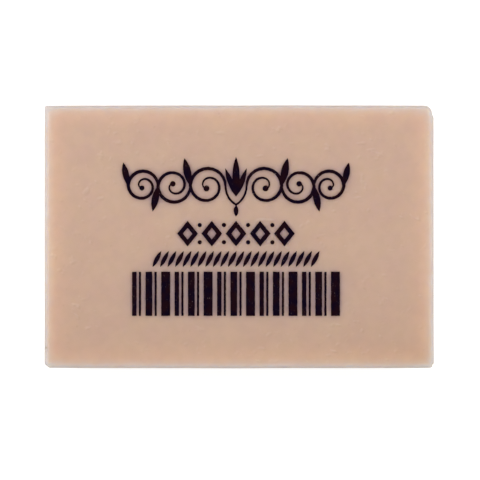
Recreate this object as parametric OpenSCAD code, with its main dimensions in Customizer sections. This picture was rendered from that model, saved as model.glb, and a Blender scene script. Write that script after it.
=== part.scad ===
// Gum eraser: one soft cast block, lying on its plain face, with a printed face on top.
// Length along X, width along Y, thickness up Z. The origin is the middle of the underside.

/* [Block] */
// Length of the block
block_l = 50; // [44:0.5:70]
// Width of the block
block_w = 33.8; // [30:0.2:48]
// Thickness of the block
block_h = 12; // [6:0.5:25]
// Rounding along every edge of the top and the underside
edge_r = 0.7; // [0.4:0.1:1]
// Rounding of the crisp upright corners
crisp_r = 0.25; // [0.1:0.05:0.35]

/* [Wear] */
// Radius of the upright corner at the back right, rubbed round
round_r = 1; // [1:0.1:2.5]
// How much further the rubbing goes down the right edge than along the back one
round_long = 0.75; // [0:0.05:1.5]
// Size of the sloping facet worn on the top of the back left corner
facet = 0.9; // [0.2:0.1:2]
// Slanted cut down the front left corner, along the length
cut_x = 0.6; // [0.1:0.05:1.5]
// Slanted cut down the front left corner, along the width
cut_y = 0.5; // [0.1:0.05:1.5]
// Step chipped out of the front right corner, along the length
chip_x = 0.25; // [0.1:0.05:1]
// Step chipped out of the front right corner, along the width
chip_y = 0.5; // [0.1:0.05:1]
// Diameter of the nick in the left edge
nick_d = 0.5; // [0.3:0.1:1]

/* [Print] */
// Thickness of the ink on the top face
ink_t = 0.04; // [0.02:0.01:0.1]
// Middle of the print, to the right of the middle of the block
print_x = -0.4; // [-3:0.1:3]
// Middle of the print, towards the back from the middle of the block
print_y = 0.1; // [-1.5:0.1:1.5]
// Height of the largest scroll in the leaf scroll band
scroll_h = 4.5; // [3:0.1:4.6]
// Scrolls on each side of the middle leaves
scroll_n = 3; // [1:1:4]
// Lozenges in the second row
lozenge_n = 5; // [3:2:9]
// Leaves in the rope border, the third row
rope_n = 22; // [8:1:28]
// Height of the bars, the lowest row
bar_h = 5.65; // [3:0.05:6]
// Groups of bars
bar_groups = 5; // [2:1:5]

/* [Hidden] */
$fn = 32;
gum_colour = [0.80, 0.67, 0.59];
ink_colour = [0.10, 0.06, 0.10];

// The outer faces of the block, left and right, front and back
end_x = block_l / 2;
side_y = block_w / 2;
// The rubbed corner leans in by this much where it meets the back edge
round_lean = round_long / 5;
// Where the nick sits along the left edge, from the front
nick_y = 2.75;
// How deep the cutters of the chip and the nick run past the faces
past = 1;

// Rows of the print, from its middle: leaf scrolls, lozenges, rope border, bars
scroll_row_y = 6.4;
lozenge_row_y = 0.3;
rope_row_y = -2.95;
bar_row_y = -7.4;

// Leaf scrolls: each scroll is this much of the one before it
scroll_shrink = 0.92;
// A scroll's line turns this far, and keeps this part of its radius at its eye
scroll_turn = 600;
eye_part = 0.16;
scroll_steps = 40;
// Width of a scroll's line where it starts and ends, and what it swells by between
line_start_w = 0.27;
line_end_w = 0.18;
line_swell = 0.19;
bud_part = 0.17;
// The leaf at each joint of two scrolls, against the scroll's radius
leaf_part = 1.62;
leaf_slim = 0.27;
leaf_lean = 12;
// The middle: two stems that part from a foot, and three leaves between them
middle_half = 1.35;
foot_y = -2.4;
middle_leaf_y = -1.35;
middle_leaf_l = 5.1;
middle_leaf_w = 0.95;
middle_side_part = 0.76;
middle_lean = 21;
foot_leaf_l = 1.5;
foot_leaf_w = 0.6;
stem_steps = 8;

// Lozenges
lozenge_pitch = 3.1;
lozenge_w = 2.65;
lozenge_h = 3.3;
lozenge_open = 0.45;
lozenge_dot_r = 0.27;

// Rope border
rope_pitch = 0.965;
rope_leaf_l = 2.35;
rope_leaf_w = 0.56;
rope_lean = 62;

// Bars: one plain rhythm of widths, in modules, repeated group by group
bar_module = 0.286;
bar_rhythm = [2, 1, 3, 1, 4];
gap_rhythm = [1, 2, 1, 2, 2];

function sum_to(list, count) = count <= 0 ? 0 : list[count - 1] + sum_to(list, count - 1);
function middle_of(count, i) = i - (count - 1) / 2;

// ---------- The block ----------

// A disc with a fully rounded rim, tangent to the two outer faces of one corner: with a
// radius of edge_r it is a ball. It is turned from a half circle, so that its poles and its
// equator lie exactly on the outer faces.
// side is the corner's sign in x and y, inset the extra distance from each face.
module edge_disc(side, inset, z, radius = edge_r) {
    translate([
        side[0] * (end_x - inset[0] - radius),
        side[1] * (side_y - inset[1] - radius),
        z
    ])
        rotate_extrude()
            intersection() {
                translate([radius - edge_r, 0])
                    circle(r = edge_r);
                translate([0, -edge_r])
                    square([radius, 2 * edge_r]);
            }
}

// A crisp upright corner line, between the roundings of the top and the underside
module upright(side, inset) {
    translate([
        side[0] * (end_x - inset[0] - crisp_r),
        side[1] * (side_y - inset[1] - crisp_r),
        edge_r
    ])
        cylinder(r = crisp_r, h = block_h - 2 * edge_r);
}

module block_body() {
    low = edge_r;
    high = block_h - edge_r;
    back_left = [-1, 1];
    back_right = [1, 1];
    front_left = [-1, -1];
    front_right = [1, -1];
    hull() {
        // Back left: square upright, with a facet worn on its top
        upright(back_left, [0, 0]);
        edge_disc(back_left, [0, 0], low);
        edge_disc(back_left, [facet, 0], high);
        edge_disc(back_left, [0, facet], high);
        // Back right: rubbed round from top to bottom, and further down the right edge
        for (z = [low, high]) {
            edge_disc(back_right, [round_lean, 0], z, round_r);
            edge_disc(back_right, [0, round_long], z, round_r);
        }
        // Front left: a slanted cut from top to bottom
        upright(front_left, [cut_x, 0]);
        upright(front_left, [0, cut_y]);
        for (z = [low, high]) {
            edge_disc(front_left, [cut_x, 0], z);
            edge_disc(front_left, [0, cut_y], z);
        }
        // Front right: square upright
        upright(front_right, [0, 0]);
        edge_disc(front_right, [0, 0], low);
        edge_disc(front_right, [0, 0], high);
    }
}

// The step chipped out of the front right corner, from top to bottom
module chip_cutter() {
    translate([end_x - chip_x, -side_y - past, -past])
        cube([chip_x + past, chip_y + past, block_h + 2 * past]);
}

// The small nick in the rounded left edge of the top
module nick_cutter() {
    translate([-end_x, -side_y + nick_y, block_h - edge_r])
        rotate([90, 0, 0])
            cylinder(d = nick_d, h = nick_d, center = true);
}

module gum_block() {
    color(gum_colour)
        difference() {
            block_body();
            chip_cutter();
            nick_cutter();
        }
}

// ---------- The printed shapes, drawn flat ----------

// A pointed leaf along X, from the origin outwards
module leaf(length, width) {
    arc_r = (pow(length / 2, 2) + pow(width / 2, 2)) / width;
    offset_y = arc_r - width / 2;
    translate([length / 2, 0])
        intersection() {
            translate([0, offset_y])
                circle(r = arc_r, $fn = 64);
            translate([0, -offset_y])
                circle(r = arc_r, $fn = 64);
        }
}

module lozenge(width, height) {
    polygon([[-width / 2, 0], [0, -height / 2], [width / 2, 0], [0, height / 2]]);
}

// A scroll keeps its full radius for half a turn and then winds in evenly.
// t runs from 0 at its start to 1 at its eye.
half_turn = 180 / scroll_turn;
function scroll_r(t) = 1 - (1 - eye_part) * max(0, t - half_turn) / (1 - half_turn);
function line_w(t) = line_start_w + (line_end_w - line_start_w) * t + line_swell * sin(180 * sqrt(t));
function scroll_point(t, radius, out) = let (
        a = 180 - t * scroll_turn,
        r = radius * scroll_r(t) + out * line_w(t) / 2
    ) [r * cos(a), r * sin(a)];

// One scroll: a line that rises over its top from the left and winds in to a bud
module scroll(radius) {
    outer = [for (i = [0:scroll_steps]) scroll_point(i / scroll_steps, radius, 1)];
    inner = [for (i = [scroll_steps:-1:0]) scroll_point(i / scroll_steps, radius, -1)];
    polygon(concat(outer, inner));
    translate(scroll_point(1, radius, 0))
        circle(r = radius * bud_part);
}

// The stem from the foot in the middle up to the start of the first scroll:
// an arc that is upright where it meets the scroll
module stem() {
    bend = 2 * atan2(middle_half, -foot_y);
    bend_r = -foot_y / sin(bend);
    down = [for (i = [0:stem_steps]) [cos(bend * i / stem_steps), -sin(bend * i / stem_steps)]];
    outer = [for (i = [0:stem_steps]) (bend_r + line_start_w / 2) * down[i]];
    inner = [for (i = [stem_steps:-1:0]) (bend_r - line_start_w / 2) * down[i]];
    translate([middle_half - bend_r, 0])
        polygon(concat(outer, inner));
}

function scroll_radius(k) = scroll_h / 2 * pow(scroll_shrink, k);
function scroll_radii() = [for (k = [0:scroll_n - 1]) scroll_radius(k)];
function scroll_x(k) = middle_half + 2 * sum_to(scroll_radii(), k) + scroll_radius(k);

// The scrolls of one half, over and under in turn, with a leaf at each joint
module scroll_half() {
    stem();
    for (k = [0:scroll_n - 1]) {
        radius = scroll_radius(k);
        flip = k % 2;
        translate([scroll_x(k), 0])
            mirror([0, flip])
                scroll(radius);
        translate([scroll_x(k) + radius, 0])
            mirror([0, flip])
                rotate(90 - leaf_lean)
                    leaf(radius * leaf_part, radius * leaf_part * leaf_slim);
    }
}

module scroll_band() {
    for (side = [0, 1])
        mirror([side, 0])
            scroll_half();
    for (lean = [-1, 0, 1]) {
        part = lean == 0 ? 1 : middle_side_part;
        translate([0, middle_leaf_y])
            rotate(90 + lean * middle_lean)
                leaf(middle_leaf_l * part, middle_leaf_w * part);
    }
    translate([0, foot_y])
        rotate(-90)
            leaf(foot_leaf_l, foot_leaf_w);
}

module lozenge_row() {
    for (i = [0:lozenge_n - 1])
        translate([lozenge_pitch * middle_of(lozenge_n, i), 0])
            difference() {
                lozenge(lozenge_w, lozenge_h);
                lozenge(lozenge_w * lozenge_open, lozenge_h * lozenge_open);
            }
    for (i = [0:lozenge_n - 2], up = [-1, 1])
        translate([lozenge_pitch * middle_of(lozenge_n - 1, i), up * lozenge_h / 3])
            circle(r = lozenge_dot_r);
}

module rope_border() {
    for (i = [0:rope_n - 1])
        translate([rope_pitch * middle_of(rope_n, i), 0])
            rotate(rope_lean)
                translate([-rope_leaf_l / 2, 0])
                    leaf(rope_leaf_l, rope_leaf_w);
}

module bar_row() {
    group_l = sum_to(bar_rhythm, len(bar_rhythm)) + sum_to(gap_rhythm, len(gap_rhythm));
    last_gap = gap_rhythm[len(gap_rhythm) - 1];
    row_l = bar_groups * group_l - last_gap;
    for (g = [0:bar_groups - 1], i = [0:len(bar_rhythm) - 1]) {
        start = g * group_l + sum_to(bar_rhythm, i) + sum_to(gap_rhythm, i);
        translate([bar_module * (start - row_l / 2), -bar_h / 2])
            square([bar_module * bar_rhythm[i], bar_h]);
    }
}

module face_print() {
    color(ink_colour)
        translate([print_x, print_y, block_h])
            linear_extrude(ink_t) {
                translate([0, scroll_row_y])
                    scroll_band();
                translate([0, lozenge_row_y])
                    lozenge_row();
                translate([0, rope_row_y])
                    rope_border();
                translate([0, bar_row_y])
                    bar_row();
            }
}

gum_block();
face_print();
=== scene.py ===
"""The looks of the gum eraser: a soft tan block of art gum with a dark print on its top face.

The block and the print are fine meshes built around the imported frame. The block's skin is where a
distance function is zero: a box with rounded edges, worn corners and small marks. The print keeps
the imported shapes, gets the slightly rough outline of ink on gum, and lies on the block's skin.
Lengths in the mesh code are in millimetres, and become metres when a mesh is made.
"""

import math

import bmesh
import bpy
import numpy as np
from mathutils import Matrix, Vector


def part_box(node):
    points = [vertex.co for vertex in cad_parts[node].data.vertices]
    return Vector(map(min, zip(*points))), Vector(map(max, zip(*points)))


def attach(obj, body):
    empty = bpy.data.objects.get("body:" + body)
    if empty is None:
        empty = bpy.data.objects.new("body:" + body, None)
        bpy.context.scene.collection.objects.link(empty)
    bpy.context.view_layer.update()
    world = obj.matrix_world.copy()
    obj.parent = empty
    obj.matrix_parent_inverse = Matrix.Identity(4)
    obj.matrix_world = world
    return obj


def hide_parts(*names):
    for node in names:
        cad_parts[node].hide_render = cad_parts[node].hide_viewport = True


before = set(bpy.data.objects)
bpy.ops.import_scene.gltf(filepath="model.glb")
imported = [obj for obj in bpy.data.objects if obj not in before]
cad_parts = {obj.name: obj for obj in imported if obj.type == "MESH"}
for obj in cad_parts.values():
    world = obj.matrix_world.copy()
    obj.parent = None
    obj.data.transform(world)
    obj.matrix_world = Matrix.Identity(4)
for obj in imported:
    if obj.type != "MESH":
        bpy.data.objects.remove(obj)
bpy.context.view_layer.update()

MM = 0.001

# The block's box, from the frame
BLOCK_LOW, BLOCK_HIGH = (np.array(corner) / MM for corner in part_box("gum_block"))
HALF_L, HALF_W = (BLOCK_HIGH - BLOCK_LOW)[:2] / 2
HEIGHT = BLOCK_HIGH[2]

# A pair of numbers named ..._FADE is two depths below the top face: none of it is left at the
# first, and all of it is there at the second.

# The rounding along the flat faces, how much it wanders and over what length, and the upright corners
EDGE_R = 0.7
EDGE_WANDER, EDGE_WANDER_SIZE, EDGE_SEED = 0.12, 5.0, 3
CRISP_R = 0.25

# Back right: rubbed round, with a small ledge where it starts on the right edge
ROUND_X, ROUND_Y = 1.15, 1.75
LEDGE = 0.09
LEDGE_RISE, LEDGE_FALL = (0.34, 0.48), (0.7, 1.1)
LEDGE_FADE = (4.5, 1)

# Front left: a slanted cut
CUT_X, CUT_Y = 0.6, 0.5
CUT_BLEND = 0.12

# Front right: a chipped step. Its depth has an even part, a slanted part and a part at the very
# front, and it waves a little on its way down.
CHIP_X, CHIP_Y = 0.17, 0.5
CHIP_EVEN, CHIP_SLANT, CHIP_FRONT = 0.75, 0.6, 0.9
CHIP_FRONT_FALL = (0.02, 0.16)
CHIP_WAVE, CHIP_TURN_PER_MM = 0.15, 1.3
CHIP_FADE = (7.5, 2.5)
CHIP_GONE = 0.5
CHIP_BLEND = 0.08

# Back left: a facet, tilted by so many degrees. It starts FACET_MORE before its crease.
FACET_X, FACET_Y = 1.8, 1.35
FACET_MORE = 0.16
FACET_TILT = 20
FACET_BLEND = 0.08

# The nick in the left edge: its middle and its radii
NICK = (-HALF_L + 0.18, -HALF_W + 2.60, HEIGHT - 0.2)
NICK_RADII = (0.23, 0.26, 0.22)
NICK_BLEND = 0.06

# The long sides fall short of the box at their ends and are fuller in their middles
SHORT_FRONT, SHORT_BACK = 0.047, 0.025
BULGE_FRONT, BULGE_BACK = 0.065, 0.026
# The short sides flare out towards the front, from so far in front of the middle
FLARE, FLARE_FROM = 0.03, 9.0

# The unevenness of soft gum: height, size and seed of each kind
UNEVENNESS = ((0.012, 6.5, 11), (0.004, 1.6, 12))

# The mesh: how far the skin is looked for, the spacing of its lines, and where they crowd
CORE_MARGIN = 2.0
SEARCH_OUT = 1.15
SEARCH_STEPS = 26
TOP_BELOW, TOP_ABOVE = 0.5, 0.3
LINE_SPACING, LINE_SAMPLES, FEWEST_LINES = 0.34, 4001, 4
EDGE_CROWD, EDGE_REACH = 5.0, 1.0
NICK_CROWD, NICK_REACH = 4.0, 0.6

# The print: how far it stands out of the gum, and how far it reaches into it
INK_LIFT = 0.014
INK_DEPTH = 0.02
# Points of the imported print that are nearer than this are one, and its top faces point up by this
WELD = 0.002
FACES_UP = 0.9
# The length of the outline's steps, and how far they are moved
OUTLINE_STEP = 0.09
OUTLINE_ROUGHNESS = 0.022
# Share, size and seed of each kind of roughness. The seed goes up by one for the second axis.
OUTLINE_NOISE = ((0.6, 0.32, 21), (0.4, 0.13, 31))


# ---------- Smooth random numbers ----------

def lattice_value(ix, iy, iz, seed):
    """A fixed random number from -1 to 1 for each point of a whole-number lattice.

    The large odd numbers only scramble the bits, and have no other meaning.
    """
    n = (ix * 374761393 + iy * 668265263 + iz * 1274126177 + seed * 974634777) & 0xFFFFFFFF
    n = ((n ^ (n >> 13)) * 1103515245) & 0xFFFFFFFF
    n = ((n ^ (n >> 16)) * 2246822519) & 0xFFFFFFFF
    n = n ^ (n >> 13)
    return n / 0x7FFFFFFF - 1.0


def noise(points, size, seed):
    """Smooth noise from -1 to 1 with features of about that size."""
    scaled = points / size
    cell = np.floor(scaled).astype(np.int64)
    part = scaled - cell
    blend = part * part * part * (part * (part * 6 - 15) + 10)
    total = np.zeros(len(points))
    for corner in range(8):
        step = np.array([corner & 1, (corner >> 1) & 1, corner >> 2])
        weight = np.prod(np.where(step, blend, 1 - blend), axis=1)
        at = cell + step
        total += weight * lattice_value(at[:, 0], at[:, 1], at[:, 2], seed)
    return total


def ramp(value, low, high):
    """0 below low, 1 above high, and a smooth rise between them."""
    t = np.clip((value - low) / (high - low), 0, 1)
    return t * t * (3 - 2 * t)


def fall(value, low, high):
    """1 below low, 0 above high, and a smooth fall between them."""
    return ramp(-value, -high, -low)


def near_top(z, fade):
    """0 deeper below the top face than the first depth of fade, and 1 above the second."""
    none, full = fade
    return ramp(z, HEIGHT - none, HEIGHT - full)


# ---------- The block's skin ----------

def smooth_max(a, b, width):
    """The larger of a and b, with the corner between them rounded over that width."""
    near = np.maximum(width - np.abs(a - b), 0) / width
    return np.maximum(a, b) + near * near * width / 4


def plan_distance(x, y, z):
    """How far a point is outside the block's outline as seen from above."""
    fullness = 1 - np.minimum(np.abs(x) / HALF_L, 1) ** 2
    front = HALF_W - SHORT_FRONT + BULGE_FRONT * fullness
    back = HALF_W - SHORT_BACK + BULGE_BACK * fullness
    end = HALF_L + FLARE * ramp(-y, FLARE_FROM, HALF_W)
    dx = np.abs(x) - end
    dy = np.where(y > 0, y - back, -y - front)
    corner = np.hypot(np.maximum(dx + CRISP_R, 0), np.maximum(dy + CRISP_R, 0))
    distance = np.minimum(np.maximum(dx, dy) + CRISP_R, 0) + corner - CRISP_R
    # Back right: rubbed round, further along the right edge than along the back
    px, py = x - (end - ROUND_X), y - (back - ROUND_Y)
    k0 = np.hypot(px / ROUND_X, py / ROUND_Y)
    k1 = np.hypot(px / ROUND_X**2, py / ROUND_Y**2)
    rubbed = k0 * (k0 - 1) / np.maximum(k1, 1e-9)
    rubbed += LEDGE * ramp(py, *LEDGE_RISE) * fall(py, *LEDGE_FALL) * near_top(z, LEDGE_FADE)
    distance = np.where((px > 0) & (py > 0), np.maximum(distance, rubbed), distance)
    # Front left: a slanted cut
    u, v = x + end, y + front
    cut = (1 - u / CUT_X - v / CUT_Y) / math.hypot(1 / CUT_X, 1 / CUT_Y)
    distance = smooth_max(distance, cut, CUT_BLEND)
    # Front right: a small step is missing, a little deeper towards the front, and none further down
    whole = 1 - near_top(z, CHIP_FADE)
    slant = np.clip(1 - v / CHIP_Y, 0, 1)
    step_x = CHIP_X * (CHIP_EVEN + CHIP_SLANT * slant + CHIP_FRONT * fall(v, *CHIP_FRONT_FALL))
    step_x *= 1 + CHIP_WAVE * np.sin(z * CHIP_TURN_PER_MM)
    chip = np.minimum(x - (end - step_x), CHIP_Y - v) - CHIP_GONE * whole
    return smooth_max(distance, chip, CHIP_BLEND)


def past_crease(x, y):
    """How far each place is towards the back left corner from the crease of its facet."""
    inward = (x + HALF_L) / FACET_X + (HALF_W - y) / FACET_Y
    return (1 - inward) / math.hypot(1 / FACET_X, 1 / FACET_Y)


def facet_distance(points):
    """How far each point is outside the facet worn on the back left corner."""
    x, y, z = points.T
    tilt = math.radians(FACET_TILT)
    return (past_crease(x, y) + FACET_MORE) * math.sin(tilt) + (z - HEIGHT) * math.cos(tilt)


def skin_distance(points):
    """How far each point is outside the block's skin."""
    x, y, z = points.T
    side = plan_distance(x, y, z)
    flat = np.abs(z - HEIGHT / 2) - HEIGHT / 2
    rounding = EDGE_R * (1 + EDGE_WANDER * noise(points, EDGE_WANDER_SIZE, EDGE_SEED))
    over_side, over_flat = side + rounding, flat + rounding
    distance = np.minimum(np.maximum(over_side, over_flat), 0) - rounding
    distance += np.hypot(np.maximum(over_side, 0), np.maximum(over_flat, 0))
    distance = smooth_max(distance, facet_distance(points), FACET_BLEND)
    # The nick in the left edge
    gap = [(c - at) / r for c, at, r in zip((x, y, z), NICK, NICK_RADII)]
    nick = (1 - np.sqrt(gap[0] ** 2 + gap[1] ** 2 + gap[2] ** 2)) * min(NICK_RADII)
    distance = smooth_max(distance, nick, NICK_BLEND)
    # Soft gum is never quite flat
    for height, size, seed in UNEVENNESS:
        distance = distance - height * noise(points, size, seed)
    return distance


def skin_height(x, y):
    """How high the top face is at each place."""
    low = np.full(len(x), HEIGHT - TOP_BELOW)
    high = np.full(len(x), HEIGHT + TOP_ABOVE)
    for _ in range(SEARCH_STEPS):
        middle = (low + high) / 2
        outside = skin_distance(np.stack([x, y, middle], axis=1)) > 0
        high = np.where(outside, middle, high)
        low = np.where(outside, low, middle)
    return (low + high) / 2


# ---------- Meshes ----------

def crowded_line(low, high, crowds):
    """Places from low to high, LINE_SPACING apart and closer at each (place, gain, reach)."""
    fine = np.linspace(low, high, LINE_SAMPLES)
    density = np.ones(len(fine))
    for place, gain, reach in crowds:
        density += gain * np.exp(-(((fine - place) / reach) ** 2))
    steps = (density[1:] + density[:-1]) / 2 * np.diff(fine)
    total = np.concatenate([[0], np.cumsum(steps)])
    count = max(FEWEST_LINES, round(total[-1] / LINE_SPACING))
    return np.interp(np.linspace(0, total[-1], count + 1), total, fine)


def box_grid(xs, ys, zs):
    """Points, quads and the side of each quad for a grid over the six sides of a box."""
    shape = (len(xs), len(ys), len(zs))
    on = np.zeros(shape, bool)
    on[[0, -1]] = on[:, [0, -1]] = on[:, :, [0, -1]] = True
    index = np.full(shape, -1)
    index[on] = np.arange(on.sum())
    i, j, k = np.nonzero(on)
    points = np.stack([xs[i], ys[j], zs[k]], axis=1)
    sides = {
        "top": index[:, :, -1], "bottom": index[:, ::-1, 0],
        "front": index[:, 0, :], "back": index[::-1, -1, :],
        "right": index[-1, :, :], "left": index[0, ::-1, :],
    }
    quads, names = [], []
    for name, grid in sides.items():
        corners = [grid[:-1, :-1], grid[1:, :-1], grid[1:, 1:], grid[:-1, 1:]]
        part = np.stack([c.ravel() for c in corners], axis=1)
        quads.append(part)
        names += [name] * len(part)
    return points, np.concatenate(quads), np.array(names)


def project_to_skin(points):
    """Moves each point of the box along a line from the block's core until it is on the skin."""
    low, high = BLOCK_LOW + CORE_MARGIN, BLOCK_HIGH - CORE_MARGIN
    core = np.clip(points, low, high)
    way = points - core
    near, far = np.zeros(len(points)), np.full(len(points), SEARCH_OUT)
    for _ in range(SEARCH_STEPS):
        middle = (near + far) / 2
        outside = skin_distance(core + way * middle[:, None]) > 0
        far = np.where(outside, middle, far)
        near = np.where(outside, near, middle)
    return core + way * ((near + far) / 2)[:, None]


# Where each side of the block goes in its texture map: place and scale, on a sheet MAP_MM wide.
# The printed top has most of the sheet.
MAP_MM = 52.0
SMALL = 0.42
MAP_PLACES = {
    "top": (1.0, 17.4, 1.0), "bottom": (0.5, 1.0, SMALL),
    "front": (22.5, 0.8, SMALL), "back": (22.5, 6.4, SMALL),
    "left": (22.5, 12.0, SMALL), "right": (37.5, 12.0, SMALL),
}


def map_block(mesh, points, quads, names):
    """Lays the six sides out flat in a texture map, from the grid before it was rounded."""
    across = {
        "top": (0, 1), "bottom": (0, 1), "front": (0, 2),
        "back": (0, 2), "left": (1, 2), "right": (1, 2),
    }
    places = np.zeros((len(quads), 4, 2))
    for name, (left, low, scale) in MAP_PLACES.items():
        mine = names == name
        axes = list(across[name])
        flat = (points[quads[mine]][:, :, axes] - BLOCK_LOW[axes]) * scale
        if name in ("bottom", "back", "left"):
            flat[:, :, 0] = (BLOCK_HIGH - BLOCK_LOW)[axes[0]] * scale - flat[:, :, 0]
        places[mine] = flat + (left, low)
    layer = mesh.uv_layers.new(name="OFBake")
    layer.data.foreach_set("uv", (places / MAP_MM).astype(np.float32).ravel())


# ---------- Marks on the skin, which the material reads ----------

# What makes a place count as nearer to an edge or farther from it, and so as paler more or less, from
# rubbing and from the painted highlight
DEPTH_COUNTS, UPRIGHT_COUNTS, LOWER_COUNTS = 1.7, 2.2, 1.4
CORNER_FALL, CORNER_FADE = (1.0, 3.2), (3, 1)
CORNER_LEFT, CORNER_BACK_RIGHT, CORNER_FRONT_RIGHT = 0.5, 0.42, 0.3

# The ink around each place, in cells of INK_CELL, blurred over INK_SPREAD
INK_CELL, INK_SPREAD, INK_MARGIN = 0.1, 0.32, 1
INK_REACH_SPREADS = 3
INK_SPOTS = 60
GOLDEN = 0.618034
INK_FADE = (0.4, 0.2)

# The browner gum: how far in front of the middle it starts, its share at the left, and where it grows
BROWN_FROM, BROWN_LEFT, BROWN_RIGHT_FROM = 6.0, 0.4, 5.0

# The facet's paler colour, worn and painted as lit, measured from its crease
PALE_CREASE, PALE_FADE = (-0.12, 0.06), (1.1, 0.6)

# The nick's painted shade trails off towards the front
NICK_TRAIL, NICK_SHADE_REACH, NICK_SHADE_RISE = 0.6, 1.5, (0.0, 0.7)

# Painted shade along the outer side of the top's rounded edge, stronger towards the front and the right,
# and a spot of it at the front right corner
EDGE_SHADE_FADE, EDGE_SHADE_STARTS = (1.9, 0.45), (0.16, 0.38)
EDGE_SHADE_SHARE, EDGE_SHADE_FRONT, EDGE_SHADE_RIGHT = 0.85, 0.33, 0.14
SPOT_X, SPOT_Y, SPOT_FALL = 0.3, 0.2, (0.15, 0.45)
SPOT_FADE, SPOT_STARTS = (0.9, 0.5), (0.1, 0.22)


def edge_distance(points):
    """How far each point of the skin is from the nearest edge of the block, along the skin."""
    x, y, z = points.T
    inside = np.stack([HALF_L - np.abs(x), HALF_W - np.abs(y), HEIGHT / 2 - np.abs(z - HEIGHT / 2)])
    inside = np.maximum(inside, 0)
    # The edges of the top are rubbed and painted pale most, and its corners even more, and the sides
    # least
    of_flats = np.maximum(-plan_distance(x, y, z), inside[2] * DEPTH_COUNTS)
    corner = fall(np.hypot(inside[0], inside[1]), *CORNER_FALL) * near_top(z, CORNER_FADE)
    of_right = np.where(y > 0, CORNER_BACK_RIGHT, CORNER_FRONT_RIGHT)
    corner *= np.where(x < 0, CORNER_LEFT, of_right)
    of_flats *= np.where(z > HEIGHT / 2, 1, LOWER_COUNTS) * (1 - corner)
    upright = np.maximum(inside[0], inside[1]) * UPRIGHT_COUNTS
    return np.minimum(of_flats, upright)


def ink_cover(points):
    """How much of the surface around each point is printed, from 0 to 1."""
    low = BLOCK_LOW[:2] - INK_MARGIN
    shape = np.ceil((BLOCK_HIGH[:2] + INK_MARGIN - low) / INK_CELL).astype(int)
    flat = printed_outlines(keep_faces=True)
    bmesh.ops.triangulate(flat, faces=flat.faces)
    corners = np.array([[v.co[:2] for v in f.verts] for f in flat.faces])
    area = np.array([f.calc_area() for f in flat.faces])
    flat.free()
    # Each triangle is spread over points inside it, then the whole is blurred
    total = np.zeros(shape)
    for i in range(INK_SPOTS):
        a, b = (i + 0.5) / INK_SPOTS, (i * GOLDEN) % 1
        u, v = 1 - math.sqrt(a), b * math.sqrt(a)
        at = corners[:, 0] * u + corners[:, 1] * v + corners[:, 2] * (1 - u - v)
        cell = ((at - low) / INK_CELL).astype(int)
        np.add.at(total, (cell[:, 0], cell[:, 1]), area / INK_SPOTS / INK_CELL**2)
    reach = int(INK_REACH_SPREADS * INK_SPREAD / INK_CELL)
    weights = np.exp(-0.5 * (np.arange(-reach, reach + 1) * INK_CELL / INK_SPREAD) ** 2)
    weights /= weights.sum()
    for axis in (0, 1):
        total = np.apply_along_axis(np.convolve, axis, total, weights, "same")
    cell = np.clip(((points[:, :2] - low) / INK_CELL).astype(int), 0, shape - 1)
    return total[cell[:, 0], cell[:, 1]] * near_top(points[:, 2], INK_FADE)


def front_right_share(points):
    """How much each point belongs to the front of the block, and most to its right end."""
    x, y, _ = points.T
    rightward = ramp(x, BROWN_RIGHT_FROM, HALF_L)
    return ramp(-y, BROWN_FROM, HALF_W) * (BROWN_LEFT + (1 - BROWN_LEFT) * rightward)


def facet_paleness(points):
    """1 on the facet of the back left corner, falling to 0 at its crease and below it."""
    x, y, z = points.T
    return ramp(past_crease(x, y), *PALE_CREASE) * near_top(z, PALE_FADE)


def nick_mark(points):
    """Painted shade in the nick: 1 inside it, falling to 0 a little way towards the front."""
    gap = (points - NICK) / NICK_RADII
    gap[:, 1] *= np.where(gap[:, 1] < 0, NICK_TRAIL, 1.0)
    return ramp(NICK_SHADE_REACH - np.linalg.norm(gap, axis=1), *NICK_SHADE_RISE)


def edge_shade(points):
    """Painted shade on the outer side of the top's rounded edge, which fades out down the side, and a
    spot of it at the front right corner.
    """
    x, y, z = points.T
    line = near_top(z, EDGE_SHADE_FADE) * ramp(HEIGHT - z, *EDGE_SHADE_STARTS)
    spot = fall(np.hypot(x - HALF_L + SPOT_X, y + HALF_W - SPOT_Y), *SPOT_FALL)
    spot *= near_top(z, SPOT_FADE) * ramp(HEIGHT - z, *SPOT_STARTS)
    return line * (EDGE_SHADE_SHARE - EDGE_SHADE_FRONT * y / HALF_W + EDGE_SHADE_RIGHT * x / HALF_L) + spot


# ---------- The block ----------


def new_object(name, data):
    """A new object of the scene that holds the mesh, lamp or camera."""
    made = bpy.data.objects.new(name, data)
    bpy.context.scene.collection.objects.link(made)
    return made


def make_block():
    """The gum block: a grid over a box, moved on to the skin, with the marks of its wear and of its
    painted light and shade.
    """
    ends = [(-HALF_L, EDGE_CROWD, EDGE_REACH), (HALF_L, EDGE_CROWD, EDGE_REACH)]
    sides = [(-HALF_W, EDGE_CROWD, EDGE_REACH), (HALF_W, EDGE_CROWD, EDGE_REACH)]
    flats = [(0, EDGE_CROWD, EDGE_REACH), (HEIGHT, EDGE_CROWD, EDGE_REACH)]
    xs = crowded_line(-HALF_L, HALF_L, ends)
    ys = crowded_line(-HALF_W, HALF_W, sides + [(NICK[1], NICK_CROWD, NICK_REACH)])
    zs = crowded_line(0, HEIGHT, flats)
    points, quads, names = box_grid(xs, ys, zs)
    skin = project_to_skin(points)
    skin[:, 2] = np.maximum(skin[:, 2], 0)
    mesh = bpy.data.meshes.new("eraser_block")
    mesh.from_pydata((skin * MM).tolist(), [], quads.tolist())
    mesh.validate()
    mesh.shade_smooth()
    map_block(mesh, points, quads, names)
    marks = {
        "rim_mm": edge_distance(skin),
        "ink_cover": ink_cover(skin),
        "browner": front_right_share(skin),
        "facet_worn_and_lit": facet_paleness(skin),
        "nick_shade": nick_mark(skin),
        "edge_shade": edge_shade(skin),
    }
    for name, values in marks.items():
        mark = mesh.attributes.new(name, "FLOAT", "POINT")
        mark.data.foreach_set("value", values.astype(np.float32))
    return new_object("eraser_block", mesh)


# ---------- The print ----------

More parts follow.
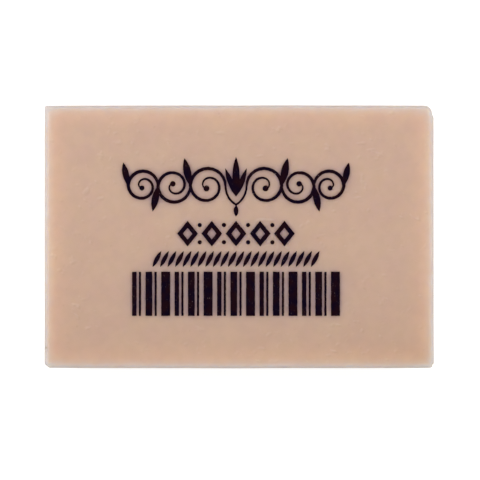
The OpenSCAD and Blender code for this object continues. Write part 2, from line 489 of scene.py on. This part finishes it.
def printed_outlines(keep_faces=False):
    """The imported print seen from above, as a flat mesh in mm: its outlines, or its faces too."""
    flat = bmesh.new()
    flat.from_mesh(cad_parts["face_print"].data)
    bmesh.ops.remove_doubles(flat, verts=flat.verts, dist=WELD * MM)
    flat.normal_update()
    hidden = [f for f in flat.faces if f.normal.z < FACES_UP]
    bmesh.ops.delete(flat, geom=hidden, context="FACES")
    if not keep_faces:
        inner = [e for e in flat.edges if len(e.link_faces) != 1]
        bmesh.ops.delete(flat, geom=flat.faces[:], context="FACES_ONLY")
        bmesh.ops.delete(flat, geom=[e for e in inner if e.is_valid], context="EDGES")
    bmesh.ops.scale(flat, verts=flat.verts, vec=(1 / MM,) * 3)
    return flat


def divide_outlines(flat):
    """Divides every outline edge into steps of about OUTLINE_STEP."""
    for edge in list(flat.edges):
        cuts = int(edge.calc_length() / OUTLINE_STEP)
        if cuts:
            bmesh.ops.subdivide_edges(flat, edges=[edge], cuts=cuts)


def roughen_outlines(flat):
    """Moves the outlines a little, along both axes."""
    places = np.array([v.co for v in flat.verts])
    places[:, 2] = 0
    for axis in (0, 1):
        shift = sum(share * noise(places, size, seed + axis) for share, size, seed in OUTLINE_NOISE)
        for v, s in zip(flat.verts, shift):
            v.co[axis] += s * OUTLINE_ROUGHNESS


def make_print():
    """The ink: the printed outlines, roughened, filled, and laid on the block's skin as a thin solid."""
    flat = printed_outlines()
    divide_outlines(flat)
    roughen_outlines(flat)
    bmesh.ops.triangle_fill(flat, edges=flat.edges[:], use_beauty=True)
    for face in flat.faces:
        if face.normal.z < 0:
            face.normal_flip()
    places = np.array([v.co for v in flat.verts])
    top = skin_height(places[:, 0], places[:, 1])
    for v, z in zip(flat.verts, top):
        v.co.z = z + INK_LIFT
    lower = bmesh.ops.extrude_face_region(flat, geom=flat.faces[:])["geom"]
    for v in lower:
        if isinstance(v, bmesh.types.BMVert):
            v.co.z -= INK_LIFT + INK_DEPTH
    bmesh.ops.recalc_face_normals(flat, faces=flat.faces)
    bmesh.ops.scale(flat, verts=flat.verts, vec=(MM,) * 3)
    mesh = bpy.data.meshes.new("ink_print")
    flat.to_mesh(mesh)
    flat.free()
    return new_object("ink_print", mesh)


# ---------- Materials ----------

def linear(red, green, blue):
    """A colour given as 0 to 255 in sRGB, as the linear colour that the shaders take."""
    def one(value):
        """One channel."""
        c = value / 255
        return c / 12.92 if c <= 0.04045 else ((c + 0.055) / 1.055) ** 2.4
    return (one(red), one(green), one(blue), 1.0)


def new_material(name):
    """An empty node material, and its node tree."""
    material = bpy.data.materials.new(name)
    material.use_nodes = True
    tree = material.node_tree
    tree.nodes.clear()
    return material, tree


def add(tree, kind, inputs=None, **settings):
    """Adds a node. inputs maps a socket's name or number to a value or to another node's output."""
    node = tree.nodes.new(kind)
    for key, value in settings.items():
        setattr(node, key, value)
    for key, value in (inputs or {}).items():
        if isinstance(value, bpy.types.NodeSocket):
            tree.links.new(value, node.inputs[key])
        else:
            node.inputs[key].default_value = value
    return node


def mix_colour(tree, amount, first, second, blend="MIX"):
    """Mixes two colours. Each is a colour or another node's output."""
    # A Mix node's inputs 0, 6 and 7 and its output 2 are those for colours
    inputs = {0: amount, 6: first, 7: second}
    return add(tree, "ShaderNodeMix", inputs, data_type="RGBA", blend_type=blend).outputs[2]


def math_node(tree, operation, *values):
    """A calculation with numbers, each a value or another node's output."""
    return add(tree, "ShaderNodeMath", dict(enumerate(values)), operation=operation).outputs[0]


def mark_on_skin(tree, name):
    """One of the marks that make_block left on the mesh."""
    return add(tree, "ShaderNodeAttribute", attribute_name=name).outputs["Fac"]


def object_place(tree):
    """The place on the object, in metres."""
    return add(tree, "ShaderNodeTexCoord").outputs["Object"]


def from_to(tree, value, low, high):
    """0 at low and 1 at high, with a smooth rise between them."""
    inputs = {"Value": value, "From Min": low, "From Max": high}
    return add(tree, "ShaderNodeMapRange", inputs, interpolation_type="SMOOTHSTEP").outputs[0]


def between(tree, value, least, most, low=0.0, high=1.0):
    """least at low and most at high, with a straight rise between them."""
    return add(tree, "ShaderNodeMapRange", {
        "Value": value, "From Min": low, "From Max": high, "To Min": least, "To Max": most,
    }).outputs[0]


def noise_texture(tree, place, size_mm, detail=2.0, roughness=0.5):
    """A noise texture with features of about that size."""
    node = add(tree, "ShaderNodeTexNoise", {
        "Vector": place, "Scale": 1 / (size_mm * MM), "Detail": detail, "Roughness": roughness,
    })
    return node.outputs["Fac"]


# ---------- The gum's material ----------

# The gum's colour at some distances from an edge, in mm, and how far those distances wander. Near the
# edge it is paler and greyer, from rubbing and from a painted highlight; a little further in it is
# warmer, with a painted glow of light through the gum.
RIM_WEAR_AND_LIGHT_COLOURS = [
    (0.20, linear(196, 185, 186)), (0.45, linear(202, 180, 173)), (0.62, linear(202, 177, 168)),
    (0.85, linear(204, 176, 162)), (1.4, linear(206, 174, 154)), (2.2, linear(204, 172, 151)),
    (3.6, linear(201, 170, 150)),
]
RIM_REACH = 4.0
RIM_WANDER = 0.7

# The facet is paler: worn, and painted as lit
FACET_COLOUR = linear(196, 182, 183)
# Painted shade along the top's rounded edge
EDGE_SHADE_COLOUR = linear(171, 157, 152)
# Painted shade in the nick
NICK_SHADE_COLOUR = linear(182, 168, 169)
# Scuffs are pale and painted lighter still, as on their lit side; the dark colour is for pits and for
# painted shade on the dark side of each scuff
SCUFF_LIT_COLOUR, SCUFF_LIT_AMOUNT = linear(226, 208, 192), 0.24
PIT_AND_SHADE_COLOUR, PIT_AND_SHADE_AMOUNT = linear(165, 132, 112), 0.18

# Tints multiply the colour
# Painted shade around the print
INK_SHADE_TINT = (0.66, 0.585, 0.73, 1)
BROWN_TINT = (0.967, 0.95, 0.905, 1)
CLOUD_TINTS = ((0.988, 0.972, 0.99, 1), (1.012, 1.02, 0.99, 1))
PATCH_TINTS = ((0.985, 0.985, 0.982, 1), (1.015, 1.015, 1.018, 1))

# Layers of flecks: size in mm, turn in degrees, squash, and how rare they are
SCUFF_LAYERS = ((0.95, 10, 0.5, 0.65), (0.9, 55, 0.55, 0.67), (0.8, 150, 0.7, 0.66))
PIT_LAYER = (0.7, 60, 0.75, 0.68)
FLECK_SOFTNESS = 0.16
SCUFF_SHADE_SHIFT = 0.22

# How much each kind of mark stands up, as parts of BUMP_DEPTH
BUMP_DEPTH = 0.02 * MM
GRAIN_UP, DIMPLES_UP, SCUFFS_UP, PITS_UP, WIRE_UP = 0.15, 0.5, 0.45, -0.8, 0.8
# The wire's marks are this much finer across than upright
WIRE_STRETCH = 0.04


def colour_ramp(tree, value, stops):
    """A colour for each value from 0 to RIM_REACH, between the given stops."""
    node = add(tree, "ShaderNodeValToRGB", {"Fac": math_node(tree, "DIVIDE", value, RIM_REACH)})
    elements = node.color_ramp.elements
    while len(elements) < len(stops):
        elements.new(0.5)
    for element, (at, colour) in zip(elements, stops):
        element.position = at / RIM_REACH
        element.color = colour
    return node.outputs["Color"]


def flecks(tree, place, size_mm, turn, squash, start, shift_mm=0.0):
    """Scattered ragged marks, longer in one direction. start is how rare they are."""
    turned = add(tree, "ShaderNodeMapping", {
        "Vector": place, "Location": (shift_mm * MM, -shift_mm * MM, 0),
        "Rotation": (0, 0, math.radians(turn)), "Scale": (1 / squash, 1, 1 / squash),
    }, vector_type="TEXTURE").outputs[0]
    ragged = noise_texture(tree, turned, size_mm, 1.0, 0.6)
    return from_to(tree, ragged, start, start + FLECK_SOFTNESS)


def worn_and_painted_light_colour(tree, place, rim):
    """The gum's colour: paler towards the edges, where it is rubbed and a highlight is painted, with a
    warmer painted glow a little further in; the facet paler, worn and painted as lit; painted shade along
    the top's edge and in the nick.
    """
    wander = math_node(tree, "SUBTRACT", noise_texture(tree, place, 1.4, 3.0, 0.6), 0.5)
    reach = math_node(tree, "MULTIPLY_ADD", wander, RIM_WANDER, rim)
    colour = colour_ramp(tree, reach, RIM_WEAR_AND_LIGHT_COLOURS)
    # The facet, paler from wear and from a painted highlight
    colour = mix_colour(tree, mark_on_skin(tree, "facet_worn_and_lit"), colour, FACET_COLOUR)
    # Painted shade along the top's rounded edge, broken up by noise
    broken = between(tree, noise_texture(tree, place, 2.6, 3.0, 0.5), 0.45, 1.0, 0.3, 0.7)
    painted_shade = math_node(tree, "MULTIPLY", mark_on_skin(tree, "edge_shade"), broken)
    colour = mix_colour(tree, painted_shade, colour, EDGE_SHADE_COLOUR)
    # Painted shade in the nick
    return mix_colour(tree, mark_on_skin(tree, "nick_shade"), colour, NICK_SHADE_COLOUR)


def shaded_and_tinted_colour(tree, place, rim, colour):
    """The colour with painted shade around the print, and as the gum itself varies."""
    # Painted shade around the print, deepest in the narrow gaps, where the ink keeps light from the gum
    ink_shade = from_to(tree, mark_on_skin(tree, "ink_cover"), 0.08, 0.75)
    colour = mix_colour(tree, ink_shade, colour, INK_SHADE_TINT, "MULTIPLY")
    # The gum is a little browner towards one corner
    share = math_node(tree, "MULTIPLY", mark_on_skin(tree, "browner"), from_to(tree, rim, 0.0, 0.8))
    colour = mix_colour(tree, share, colour, BROWN_TINT, "MULTIPLY")
    # Cloudy gum: a little pinker here, a little yellower there
    cloud = noise_texture(tree, place, 3.2, 3.0)
    tint = mix_colour(tree, from_to(tree, cloud, 0.3, 0.7), *CLOUD_TINTS)
    colour = mix_colour(tree, from_to(tree, rim, 0.0, 1.5), colour, tint, "MULTIPLY")
    # Smaller patches, a little darker or lighter
    patch = from_to(tree, noise_texture(tree, place, 1.3, 1.0), 0.35, 0.65)
    tint = mix_colour(tree, patch, *PATCH_TINTS)
    return mix_colour(tree, 1.0, colour, tint, "MULTIPLY")


def scuffs_pits_and_shade(tree, place, rim):
    """Where the small pale scuffs are, and where the pits and the painted shade on the dark sides of the
    scuffs are.
    """
    pale, pits_and_shade = None, flecks(tree, place, *PIT_LAYER)
    for layer in SCUFF_LAYERS:
        scuff = flecks(tree, place, *layer)
        pale = math_node(tree, "MAXIMUM", pale, scuff) if pale else scuff
        pits_and_shade = math_node(tree, "MAXIMUM", pits_and_shade, flecks(tree, place, *layer, SCUFF_SHADE_SHIFT))
    # They come in drifts, away from the edges
    drift = from_to(tree, noise_texture(tree, place, 5.0, 1.0), 0.35, 0.65)
    drift = math_node(tree, "MULTIPLY", drift, from_to(tree, rim, 0.4, 1.1))
    return [math_node(tree, "MULTIPLY", marks, drift) for marks in (pale, pits_and_shade)]


def wire_marks(tree, place):
    """Faint upright marks on the sides, left by the wire that cut them."""
    normal = add(tree, "ShaderNodeNewGeometry").outputs["Normal"]
    upward = add(tree, "ShaderNodeSeparateXYZ", {0: normal}).outputs[2]
    on_side = from_to(tree, math_node(tree, "ABSOLUTE", upward), 0.5, 0.2)
    drawn = add(tree, "ShaderNodeMapping", {"Vector": place, "Scale": (1, 1, WIRE_STRETCH)}).outputs[0]
    return math_node(tree, "MULTIPLY", noise_texture(tree, drawn, 0.35, 3.0, 0.6), on_side)


def gum_bump(tree, place, pale, pits_and_shade):
    """Fine grain, shallow dimples, scuffs that stand up a little, pits, and the marks of the wire."""
    grain = math_node(tree, "MULTIPLY", noise_texture(tree, place, 0.16, 3.0, 0.6), GRAIN_UP)
    dimples = math_node(tree, "MULTIPLY", noise_texture(tree, place, 0.75, 2.0), DIMPLES_UP)
    height = math_node(tree, "ADD", grain, dimples)
    for marks, up in ((pale, SCUFFS_UP), (pits_and_shade, PITS_UP), (wire_marks(tree, place), WIRE_UP)):
        height = math_node(tree, "MULTIPLY_ADD", marks, up, height)
    bump = add(tree, "ShaderNodeBump", {"Height": height, "Strength": 1.0, "Distance": BUMP_DEPTH})
    return bump.outputs[0]


def gum_material():
    """Soft translucent gum, satin, a little drier in some places."""
    material, tree = new_material("tan_art_gum")
    place = object_place(tree)
    rim = mark_on_skin(tree, "rim_mm")
    colour = worn_and_painted_light_colour(tree, place, rim)
    colour = shaded_and_tinted_colour(tree, place, rim, colour)
    pale, pits_and_shade = scuffs_pits_and_shade(tree, place, rim)
    # Pale scuffs painted as lit, then pits and painted shade on the scuffs' dark sides
    colour = mix_colour(tree, math_node(tree, "MULTIPLY", pale, SCUFF_LIT_AMOUNT), colour, SCUFF_LIT_COLOUR)
    colour = mix_colour(tree, math_node(tree, "MULTIPLY", pits_and_shade, PIT_AND_SHADE_AMOUNT), colour, PIT_AND_SHADE_COLOUR)
    dry = from_to(tree, noise_texture(tree, place, 0.9), 0.35, 0.7)
    shader = add(tree, "ShaderNodeBsdfPrincipled", {
        "Base Color": colour, "Roughness": between(tree, dry, 0.44, 0.56),
        "Normal": gum_bump(tree, place, pale, pits_and_shade),
        "Subsurface Weight": 1.0, "Subsurface Radius": (1.0, 1.0, 0.6),
        "Subsurface Scale": 5.0 * MM, "IOR": 1.45, "Specular IOR Level": 0.45,
        "Sheen Weight": 0.2, "Sheen Roughness": 0.4,
    })
    add(tree, "ShaderNodeOutputMaterial", {"Surface": shader.outputs[0]})
    return material


# ---------- The ink's material ----------

INK_COLOURS = (linear(10, 2, 19), linear(24, 5, 12))
SHADED_SHOWING_GUM = linear(160, 138, 134)
SCRATCH_STRETCH = 0.3
INK_BUMP_DEPTH, INK_BUMP_STRENGTH = 0.01 * MM, 0.25


def ink_material():
    """Near-black ink, browner or bluer here and there, with pinholes and short scratches."""
    material, tree = new_material("dark_ink")
    place = object_place(tree)
    shade = from_to(tree, noise_texture(tree, place, 1.3), 0.35, 0.65)
    colour = mix_colour(tree, shade, *INK_COLOURS)
    # The gum shows through the pinholes and scratches, painted darker with the shade of the ink around
    # them
    holes = from_to(tree, noise_texture(tree, place, 0.13, 1.0), 0.72, 0.8)
    along = add(tree, "ShaderNodeMapping", {"Vector": place, "Scale": (SCRATCH_STRETCH, 1, 1)}).outputs[0]
    scratches = from_to(tree, noise_texture(tree, along, 0.12, 1.0), 0.74, 0.82)
    holes = math_node(tree, "MAXIMUM", holes, scratches)
    where = from_to(tree, noise_texture(tree, place, 1.1), 0.42, 0.62)
    colour = mix_colour(tree, math_node(tree, "MULTIPLY", holes, where), colour, SHADED_SHOWING_GUM)
    grain = noise_texture(tree, place, 0.16, 3.0, 0.6)
    bump = add(tree, "ShaderNodeBump", {
        "Height": grain, "Strength": INK_BUMP_STRENGTH, "Distance": INK_BUMP_DEPTH,
    })
    shader = add(tree, "ShaderNodeBsdfPrincipled", {
        "Base Color": colour, "Roughness": between(tree, grain, 0.55, 0.7),
        "Normal": bump.outputs[0], "Specular IOR Level": 0.02,
    })
    add(tree, "ShaderNodeOutputMaterial", {"Surface": shader.outputs[0]})
    return material


# ---------- Surroundings, in metres ----------

FLOOR_HALF = 1.0
FLOOR_DROP = 0.02 * MM
# The floor's shade for the object's light, and its shade and glow where it is seen
FLOOR_PLAIN = 0.8
FLOOR_SHADE = 0.55
FLOOR_GLOW = 0.69

# The world's light: level with the block and straight above, how it changes towards the back and
# the right, how much it changes towards both ends of those directions, and its least
WORLD_LEVEL, WORLD_ABOVE = 0.68, 0.52
WORLD_BACK, WORLD_RIGHT = -0.42, -0.06
WORLD_BACK_ENDS, WORLD_RIGHT_ENDS = -0.8, 0.8
WORLD_LEAST = 0.05

# Two lamps behind the block, to its left and right: place, size, the height they aim at, and power
LAMP_X, LAMP_Y, LAMP_Z = 0.09, 0.06, 0.145
LAMP_SIZE = 0.10
LAMP_AIM = 0.01
LAMP_POWERS = {"key_left": (-1, 0.103), "key_right": (1, 0.0905)}


def seen_directly(tree):
    """1 for rays from the camera and for those in a reflection or through glass, else 0."""
    path = add(tree, "ShaderNodeLightPath").outputs
    either = math_node(tree, "MAXIMUM", path["Is Camera Ray"], path["Is Glossy Ray"])
    return math_node(tree, "MAXIMUM", either, path["Is Transmission Ray"])


def make_floor():
    """A white floor. It looks white and keeps a faint shadow."""
    material, tree = new_material("white_floor")
    plain = add(tree, "ShaderNodeBsdfDiffuse", {"Color": (FLOOR_PLAIN,) * 3 + (1,)})
    shaded = add(tree, "ShaderNodeBsdfDiffuse", {"Color": (FLOOR_SHADE,) * 3 + (1,)})
    glow = add(tree, "ShaderNodeEmission", {"Color": (1, 1, 1, 1), "Strength": FLOOR_GLOW})
    seen = add(tree, "ShaderNodeAddShader", {0: shaded.outputs[0], 1: glow.outputs[0]})
    both = add(tree, "ShaderNodeMixShader", {
        0: seen_directly(tree), 1: plain.outputs[0], 2: seen.outputs[0],
    })
    add(tree, "ShaderNodeOutputMaterial", {"Surface": both.outputs[0]})
    mesh = bpy.data.meshes.new("floor")
    s = FLOOR_HALF
    corners = [(x, y, -FLOOR_DROP) for x, y in ((-s, -s), (s, -s), (s, s), (-s, s))]
    mesh.from_pydata(corners, [], [(0, 1, 2, 3)])
    floor = new_object("floor", mesh)
    floor.data.materials.append(material)


def make_world():
    """White where it is seen. It lights softly, more from around than from above."""
    world = bpy.data.worlds.new("studio")
    bpy.context.scene.world = world
    world.use_nodes = True
    tree = world.node_tree
    tree.nodes.clear()
    way = add(tree, "ShaderNodeTexCoord").outputs["Generated"]
    right, back, up = add(tree, "ShaderNodeSeparateXYZ", {0: way}).outputs
    strength = between(tree, up, WORLD_LEVEL, WORLD_ABOVE)
    strength = math_node(tree, "MULTIPLY_ADD", back, WORLD_BACK, strength)
    strength = math_node(tree, "MULTIPLY_ADD", right, WORLD_RIGHT, strength)
    for side, amount in ((right, WORLD_RIGHT_ENDS), (back, WORLD_BACK_ENDS)):
        square = math_node(tree, "MULTIPLY", side, side)
        strength = math_node(tree, "MULTIPLY_ADD", square, amount, strength)
    strength = math_node(tree, "MAXIMUM", strength, WORLD_LEAST)
    soft = add(tree, "ShaderNodeBackground", {"Color": (1, 1, 1, 1), "Strength": strength})
    white = add(tree, "ShaderNodeBackground", {"Color": (1, 1, 1, 1), "Strength": 1.0})
    both = add(tree, "ShaderNodeMixShader", {
        0: seen_directly(tree), 1: soft.outputs[0], 2: white.outputs[0],
    })
    add(tree, "ShaderNodeOutputWorld", {"Surface": both.outputs[0]})


def make_lamp(name, side, power):
    """A soft square lamp to one side of the block, aimed at it. side is -1 or 1."""
    light = bpy.data.lights.new(name, "AREA")
    light.shape = "SQUARE"
    light.size = LAMP_SIZE
    light.energy = power
    lamp = new_object(name, light)
    lamp.location = (side * LAMP_X, LAMP_Y, LAMP_Z)
    way = Vector((0, 0, LAMP_AIM)) - Vector((side * LAMP_X, LAMP_Y, LAMP_Z))
    lamp.rotation_euler = way.to_track_quat("-Z", "Y").to_euler()
    lamp.visible_camera = False


# ---------- Camera ----------

LENS, SENSOR = 85.0, 36.0
# The part of the picture's width that the block fills
BLOCK_IN_PICTURE = 0.8097
# How far the camera stands to the right of the block's middle and in front of it, in mm
SHIFT_RIGHT, SHIFT_DOWN = 0.109, 0.413


def make_camera():
    """Straight above the block, at the distance where it fills that part of the picture's width."""
    camera = bpy.data.cameras.new("camera")
    camera.lens = LENS
    camera.sensor_width = SENSOR
    made = new_object("camera", camera)
    field = 2 * HALF_L * MM / BLOCK_IN_PICTURE
    widest = (HEIGHT - EDGE_R) * MM
    made.location = (SHIFT_RIGHT * MM, -SHIFT_DOWN * MM, widest + field * LENS / SENSOR)
    made.rotation_euler = (0, 0, 0)
    bpy.context.scene.camera = made


# ---------- The scene ----------

block = make_block()
block.data.materials.append(gum_material())
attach(block, "root")
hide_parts("gum_block")

ink = make_print()
ink.data.materials.append(ink_material())
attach(ink, "root")
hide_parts("face_print")

make_floor()
make_world()
for lamp_name, (lamp_side, lamp_power) in LAMP_POWERS.items():
    make_lamp(lamp_name, lamp_side, lamp_power)
make_camera()
bpy.context.scene.view_settings.view_transform = "Standard"
